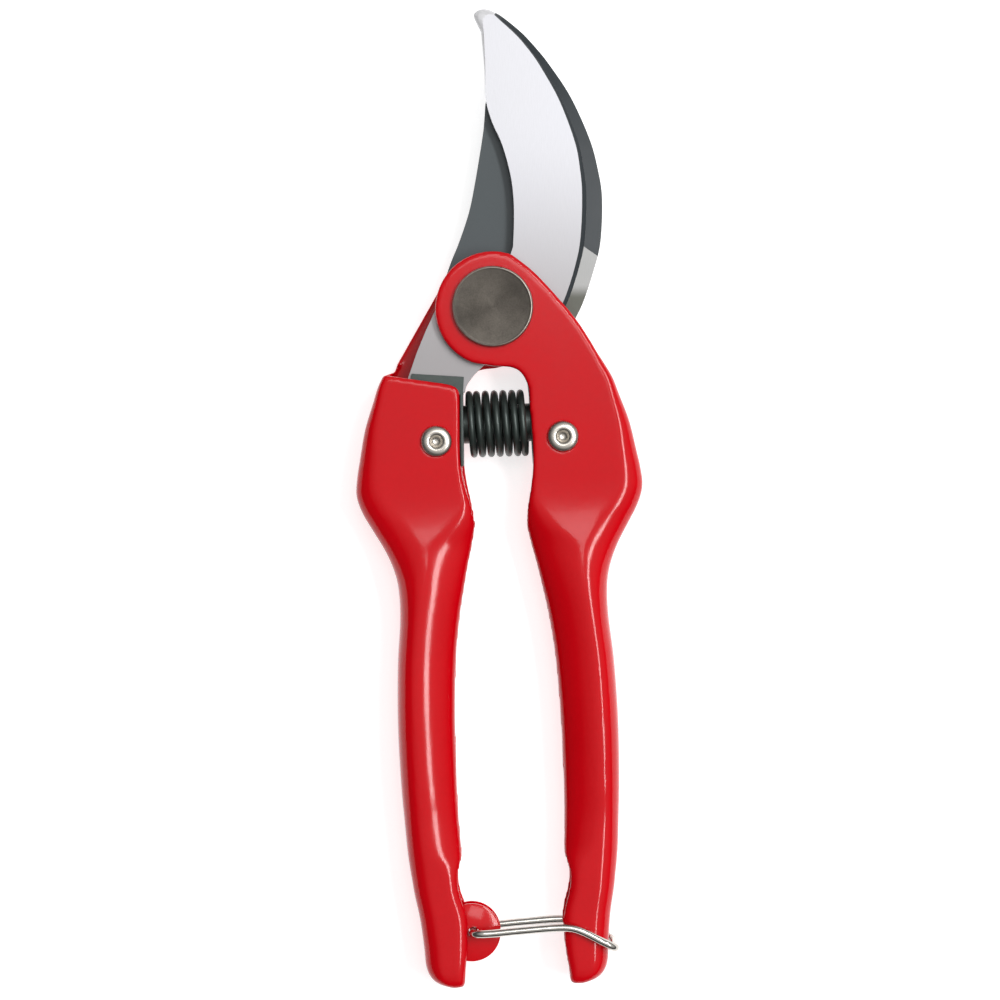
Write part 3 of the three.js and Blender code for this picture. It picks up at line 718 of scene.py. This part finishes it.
def counter_jaw():
    """Hooked jaw: its crown is coated dark and its heel is ground back to bright steel."""
    spine, rest, edge, tip = hook_plan()
    full = np.concatenate((spine, rest, edge, tip))
    inwards = hook_face(spine, rest, edge, tip) - full
    on_spine = (np.arange(len(full)) < len(spine))[:, None]
    # how far in the spine's bevel and the edge's rounding have come at each height
    levels = [(JAW_GAP, full), (HOOK_BEVEL_FROM, full)] + [
        (z, full + inwards * np.where(on_spine, bevelled, rounded_over))
        for z, bevelled, rounded_over in ((2.5, 0.78, 0.1), (3.1, 0.93, 0.42), (JAW_TOP, 1, 1))
    ]

    def finish(i, j):
        if i < 1:
            return GROUND
        if j < len(spine) - 1:
            return HEEL if i == 1 else CROWN
        return NOSE if j >= len(spine) + len(rest) else GROUND

    obj = loft("counter_blade_ground", flat_loops(levels), LIFT, finish)
    paint(obj, ground, heel, crown, worn_highlit, nose_steel)
    part_heel(obj)
    combine(obj, disc("bore", JAW_BORE, -CLEAR, CLEAR))
    combine(obj, disc("hole", RIVET_HOLE, -CLEAR, CLEAR, on_left(RIVET_LEFT)))
    # the rounded edges take the lighter edge metal: wear and a painted highlight
    return shade(soften(merge_flats(obj), 0.13, 2, 16, WORN_AND_HIGHLIT), 30)


def cutting_jaw():
    """Curved blade, coated dark, with a bright ground bevel on its under side."""
    edge = spline(BLADE_EDGE, 8)
    bevel = spline([[w] for w in BLADE_BEVEL], 8)[:, 0]
    rest = np.concatenate((spline(BLADE_SPINE, 8), spline(BLADE_THROAT, 4), TANG))
    full = np.concatenate((edge, rest))
    widths = np.concatenate((bevel, np.zeros(len(rest))))
    under = inset(full[::-1], widths[::-1])[::-1]
    levels = [(-JAW_TOP, under), (BLADE_BEVEL_TOP, full), (-JAW_GAP, full)]
    last = len(edge) - 1
    obj = loft("cutting_blade_coated", flat_loops(levels), LIFT, lambda i, j: 1 if i == 0 and j < last else 0)
    paint(obj, coated, heel, worn_highlit)
    combine(obj, disc("bore", JAW_BORE, -CLEAR, CLEAR))
    combine(obj, disc("hole", RIVET_HOLE, -CLEAR, CLEAR, RIVET_RIGHT))
    # the rounded edges take the lighter edge metal: wear and a painted highlight
    return shade(soften(merge_flats(obj), 0.08, 2, 24, 2), 30)


# ---------------------------------------------------------------- turned and pressed small parts
def pivot_bolt():
    """Bolt with a broad head, slightly dished inside a rim that is painted lighter as a highlight."""
    profile = [
        (0, -MID_HEIGHT), (3.6, -MID_HEIGHT), (4.0, -7.45), (4.0, -4.4), (4.5, -4.2), (4.5, 4.3),
        (5.9, 4.3), (5.9, 6.1), (HEAD_RADIUS, 6.1), (HEAD_RADIUS, 6.95), (8.45, 7.36), (8.2, 7.42),
        (7.9, 7.38), (6.0, 7.31), (4.0, 7.27), (2.0, 7.25), (0, 7.245),
    ]
    obj = paint(lathe("pivot_bolt_turned", rounded(profile, 0.12)), turned, worn_highlit)
    # the rim's faces take the lighter edge metal, a painted highlight
    for face in obj.data.polygons:
        from_axis = face.center.xy.length / MM
        if RIM_INNER < from_axis < RIM_OUTER and face.center.z > (MID_HEIGHT + RIM_LOW) * MM:
            face.material_index = 1
    return shade(obj, 40)


def pivot_nut():
    """Disc nut with two holes for a pin spanner."""
    profile = [
        (4.15, -MID_HEIGHT + 0.25), (4.4, -MID_HEIGHT), (HEAD_RADIUS - 0.4, -MID_HEIGHT),
        (HEAD_RADIUS, -MID_HEIGHT + 0.4), (HEAD_RADIUS, -6.1), (5.9, -6.1), (5.9, -4.5), (4.15, -4.5),
    ]
    obj = paint(lathe("pivot_nut_turned", rounded(profile, 0.12)), turned, worn_highlit)
    for side in (-1, 1):
        hole_at = (0, side * SPANNER_HOLE_AT)
        combine(obj, disc("hole", SPANNER_HOLE, -CLEAR, SPANNER_HOLE_TOP, hole_at, steps=32))
    # the rounded edges take the lighter edge metal: wear and a painted highlight
    return shade(soften(obj, 0.1, 2, 50, 1), 40)


def pivot_washer(name, low, high):
    profile = [
        (JAW_BORE, low + 0.1), (JAW_BORE, high), (WASHER_RADIUS, high), (WASHER_RADIUS, low),
        (JAW_BORE, low),
    ]
    return shade(lathe(name, rounded(profile, 0.1)), 40)


def tang_rivet(name, at, place):
    """Rivet with a dished head at each end."""
    half = [
        (2.4, 6.08), (3.2, 6.08), (3.35, 6.25), (3.32, 6.45), (3.16, 6.72), (2.86, 6.95), (2.45, 7.1),
        (2.0, 7.165), (1.68, 7.13), (1.42, 6.98), (1.2, 6.7), (0.95, 6.4), (0.6, 6.2), (0.3, 6.13), (0, 6.12),
    ]
    profile = [(r, -z) for r, z in reversed(half)] + half
    return shade(lathe(name, profile, at, place, 72), 40)


def packing_plate(name, rivet_at, place):
    """Plate that fills the channel beside the tang."""
    outline = [
        (9.5, -20.0), (12.5, -18.0), (20.2, -16.4), (23.0, -22.0), (24.4, -30.0), (23.6, -36.0),
        (19.0, -40.6), (12.0, -40.8), (9.7, -37.5),
    ]
    obj = slab(name, outline, JAW_GAP, JAW_TOP, place)
    combine(obj, disc("hole", RIVET_HOLE, -CLEAR, CLEAR, rivet_at, place))
    return shade(soften(obj, 0.2, 3), 30)


def seat_edge(y):
    """Where the seat's web stands at y."""
    return SEAT_EDGE + SEAT_SLOPE * (SEAT_TOP - y)


def spring_seat(name, rivet_at, place):
    """Folded sheet that closes the handle's mouth behind the spring, with a drawn peg."""
    top, foot = (seat_edge(SEAT_TOP), SEAT_TOP), (seat_edge(SEAT_FOOT), SEAT_FOOT)
    web = [top, foot, (foot[0] + 0.6, foot[1]), (top[0] + 0.6, top[1])]
    leaf = [(7.25, -14.4), top, foot, (19.2, SEAT_FOOT), (20.2, -22.0), (18.4, -12.9)]
    near_face, far_face = WASHER_FACES
    obj = slab(name, web, -OUTER_HALF, far_face, place)
    combine(obj, slab("front", leaf, near_face, far_face, place), "UNION")
    combine(obj, slab("back", leaf, -far_face, -near_face, place), "UNION")
    peg = rounded([(0, -0.3), (4.1, -0.3), (4.1, 2.4), (3.5, 3.0), (0, 3.0)], 0.5)
    stand = Matrix.Translation((seat_edge(SEAT_PEG) * MM, SEAT_PEG * MM, 0))
    lean = Matrix.Rotation(math.pi / 2 + math.atan(SEAT_SLOPE), 4, "Z")
    swing = place @ stand @ lean @ Matrix.Rotation(-math.pi / 2, 4, "X")
    combine(obj, lathe("peg", peg, place=swing, steps=64), "UNION")
    combine(obj, disc("hole", RIVET_HOLE, -CLEAR, CLEAR, rivet_at, place))
    return shade(drop_slivers(soften(merge_flats(obj), 0.1, 2, 40)), 35)


def coil_spring():
    """Compression spring with its end turns closed."""
    t = np.linspace(0, 1, SPRING_TURNS * 40 + 1)
    opened = (SPRING_LENGTH - 2 * SPRING_CLOSED) / (SPRING_TURNS - 2)
    turns = (0.5 - np.abs(t - 0.5)) * SPRING_TURNS
    from_end = np.where(turns < 1, turns * SPRING_CLOSED, SPRING_CLOSED + (turns - 1) * opened)
    along = np.sign(t - 0.5) * (SPRING_LENGTH / 2 - from_end)
    angle = t * SPRING_TURNS * 2 * math.pi - math.pi / 2
    path = np.column_stack((along, SPRING_RADIUS * np.cos(angle), SPRING_RADIUS * np.sin(angle)))
    stand = Matrix.Translation((SPRING_AT[0] * MM, SPRING_AT[1] * MM, 0))
    place = LIFT @ stand @ Matrix.Rotation(SPRING_TILT, 4, "Z")
    return shade(tube("coil_spring_wire", path, SPRING_WIRE, 16, place), 60)


def latch_ear():
    """Two round ears joined by a web inside the left handle."""
    outline = np.concatenate((
        arc(EAR_AT[0], EAR_AT[1], EAR_RADIUS, 125, -125, 60),
        [(-9.6, -138.2), (-11.6, -138.0), (-12.2, -128.6), (-10.0, -128.3)],
    ))
    # each face is a dome of rings, given by their share of the way out to the rim
    shares = (1, 0.94, 0.87, 0.78, 0.66, 0.5, 0.32, 0.15)
    domed = [(EAR_FACE - EAR_DOME * share**2.2, share) for share in shares]
    levels = [(-z, share) for z, share in reversed(domed)] + domed
    loops = flat_loops([(z, (outline - EAR_AT) * share + EAR_AT) for z, share in levels])
    obj = loft("latch_ear_enamelled", loops)
    gap = [(-10.3, -120), (5, -120), (5, -145), (-10.3, -145)]
    combine(obj, slab("gap", gap, -EAR_GAP, EAR_GAP))
    combine(obj, disc("hole", LATCH_BORE, -CLEAR, CLEAR, LATCH_AT, steps=40))
    return shade(soften(obj, 0.3, 3, 40), 35)


def latch_wire():
    """Bent wire whose two hooked ends stand in the ear and whose loop goes round the other handle."""
    x, y = LATCH_AT
    w = LATCH_HALF_WIDTH
    side = [
        (x, y, 1.2), (x, y, 3.2), (x, y, 5.2), (x + 0.35, y, 6.3), (x + 1.6, y + 0.08, w),
        (x + 4, y + 0.2, w), (6, -133.1, w), (15.2, -132.45, w), (17.6, -132.75, w), (20.2, -133.8, w),
        (22.8, -135.15, w), (24.9, -136.15, w), (25.95, -136.7, 6.2), (26.2, -136.85, 4.8),
        (26.2, -136.85, 2.4),
    ]
    path = smooth_path(side + [(px, py, -pz) for px, py, pz in reversed(side)], 12)
    return shade(tube("latch_wire_plated", path, LATCH_WIRE, 20), 60)


def show(obj, body, node, slot, *materials):
    """Gives a piece the finishes passed to it, if any, and its body, and hides the CAD node that it stands
    for.
    """
    paint(obj, *materials)
    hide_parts(node)
    if body:
        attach(obj, body)
    return obj


show(pressed_handle("left_handle_enamelled", RIVET_LEFT, TURNED_OVER, LEFT_SHOULDER), "left_half",
     "left_handle", "red_enamel", enamel)
show(pressed_handle("right_handle_enamelled", RIVET_RIGHT, LIFT), "right_half", "right_handle",
     "red_enamel", enamel)
show(counter_jaw(), "left_half", "counter_blade", "ground_steel")
show(cutting_jaw(), "right_half", "cutting_blade", "coated_steel")
show(pivot_bolt(), "left_half", "pivot_bolt", "turned_steel")
show(pivot_nut(), "left_half", "pivot_nut", "turned_steel")
near_face, far_face = WASHER_FACES
show(pivot_washer("front_washer_bronze", near_face, far_face), "left_half", "front_washer",
     "washer_bronze", bronze)
show(pivot_washer("back_washer_bronze", -far_face, -near_face), "left_half", "back_washer",
     "washer_bronze", bronze)
for side, at, place in (("left", RIVET_LEFT, TURNED_OVER), ("right", RIVET_RIGHT, LIFT)):
    half_body = f"{side}_half"
    show(tang_rivet(f"{side}_tang_rivet_plated", at, place), half_body, f"{side}_tang_rivet",
         "plated_steel", rivet_metal)
    show(packing_plate(f"{side}_packing_plate_steel", at, place), half_body, f"{side}_packing_plate",
         "plain_steel", dull)
    show(spring_seat(f"{side}_spring_seat_black", at, place), half_body, f"{side}_spring_seat",
         "black_steel", blackened)
show(latch_ear(), "left_half", "latch_ear", "red_enamel", enamel)
show(latch_wire(), "latch", "latch_wire", "plated_steel", plated)
spring = show(coil_spring(), None, "coil_spring", "black_steel", blackened)
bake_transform(spring)

# ---------------------------------------------------------------- floor, light, camera
FLOOR_HALF = 3000
FLOOR_TOP = -0.05
FLOOR_DEPTH = 20
FLOOR_GLOW = 0.72  # a light table: the paper is lit from below as well
corners = [(x * FLOOR_HALF, y * FLOOR_HALF) for x, y in ((-1, -1), (1, -1), (1, 1), (-1, 1))]
floor = slab("floor", corners, FLOOR_TOP - FLOOR_DEPTH, FLOOR_TOP, Matrix.Identity(4))
paper = surface("floor_paper", colour(208, 208, 208), colour(212, 212, 212), 0, (0.8, 0.9), patch=0.01,
                grain=2, bump=0.01, depth=0.01, specular=0.1)
paper_shader = paper.node_tree.nodes["Principled BSDF"]
paper_shader.inputs["Emission Color"].default_value = (1, 1, 1, 1)
paper_shader.inputs["Emission Strength"].default_value = FLOOR_GLOW
paint(floor, paper)


def softbox(name, place, aim, width, height, strength):
    """Rectangular lamp whose brightness doesn't change with its size."""
    data = bpy.data.lights.new(name, "AREA")
    data.shape = "RECTANGLE"
    data.size = width
    data.size_y = height
    data.energy = strength * width * height * math.pi
    light = bpy.data.objects.new(name, data)
    light.location = place
    light.visible_camera = False
    light.rotation_mode = "QUATERNION"
    light.rotation_quaternion = (Vector(aim) - Vector(place)).to_track_quat("-Z", "Y")
    bpy.context.scene.collection.objects.link(light)


AIM = Vector((0, -0.04, 0))
softbox("key", AIM + Vector((0.72, 0.2, 1.41)), AIM, 1.3, 0.2, 17.5)
softbox("top", AIM + Vector((0.12, 0.36, 1.5)), AIM, 0.45, 0.4, 4.6)

SKY_TOWARDS = Vector((0.3, 0.22, 0.9))
SKY_PATCH_FROM = 0.4
SKY_DIM, SKY_BRIGHT = 0.08, 0.88


def studio():
    """Dim surroundings that brighten towards a broad patch overhead."""
    world = bpy.data.worlds.new("studio")
    world.use_nodes = True
    tree = world.node_tree
    background = tree.nodes["Background"]
    background.inputs["Color"].default_value = (1, 1, 1, 1)
    heading = add_node(tree, "TexCoord")
    towards = add_node(tree, "VectorMath")
    towards.operation = "DOT_PRODUCT"
    towards.inputs[1].default_value = SKY_TOWARDS.normalized()
    tree.links.new(heading.outputs["Generated"], towards.inputs[0])
    level = remap(tree, towards.outputs["Value"], (SKY_PATCH_FROM, 1), (SKY_DIM, SKY_BRIGHT))
    tree.links.new(level.outputs["Result"], background.inputs["Strength"])
    return world


bpy.context.scene.world = studio()
bpy.context.scene.view_settings.view_transform = "Standard"
bpy.context.scene.view_settings.look = "None"

# straight above the pruner, looking down, with +Y up the picture
CAMERA_AT = (0.00156, -0.04127, 0.669)
CAMERA_LENS = 110.5
camera_data = bpy.data.cameras.new("camera")
camera_data.lens = CAMERA_LENS
camera_data.sensor_width = 36
camera_data.clip_start = 0.01
camera = bpy.data.objects.new("camera", camera_data)
camera.location = CAMERA_AT
bpy.context.scene.collection.objects.link(camera)
bpy.context.scene.camera = camera
